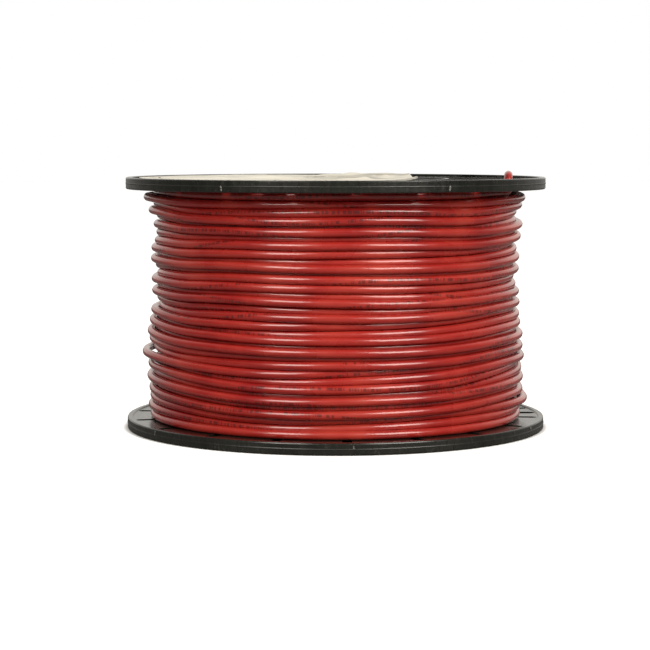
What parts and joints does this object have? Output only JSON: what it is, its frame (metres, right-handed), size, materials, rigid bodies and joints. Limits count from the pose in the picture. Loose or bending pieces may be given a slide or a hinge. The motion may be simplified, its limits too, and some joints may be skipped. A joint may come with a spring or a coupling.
{
  "type": "wire spool",
  "caption": "Moulded plastic spool with slotted flanges and a full winding of insulated stranded building wire.",
  "frame": {"origin": "centre of the ring that the lower flange stands on", "axes": "+Z along the spool's axis, up from the lower flange to the upper one; -Y is the side that the picture shows; +X is to the right there"},
  "size_m": [0.2096, 0.2096, 0.1285],
  "materials": {
    "spool_plastic": "moulded black polystyrene, satin to glossy, with scuffs and mould marks",
    "label_paper": "cream paper, slightly wrinkled, blank",
    "wire_jacket": "clear nylon jacket over red insulation, glossy, with a faint run of printed ticks",
    "copper": "bare copper strands, freshly cut"
  },
  "bodies": {
    "root": {"lower_flange": "spool_plastic", "upper_flange": "spool_plastic", "barrel_tube": "spool_plastic", "arbor_tube": "spool_plastic", "paper_label": "label_paper", "wire_layer_01": "wire_jacket", "wire_layer_02": "wire_jacket", "wire_layer_03": "wire_jacket", "wire_layer_04": "wire_jacket", "wire_layer_05": "wire_jacket", "wire_layer_06": "wire_jacket", "wire_layer_07": "wire_jacket", "wire_layer_08": "wire_jacket", "wire_layer_09": "wire_jacket", "wire_layer_10": "wire_jacket", "wire_layer_11": "wire_jacket", "wire_layer_12": "wire_jacket", "wire_layer_13": "wire_jacket", "wire_free_end": "wire_jacket", "free_end_strands": "copper", "wire_start_end": "wire_jacket", "start_end_strands": "copper"}
  },
  "joints": []
}
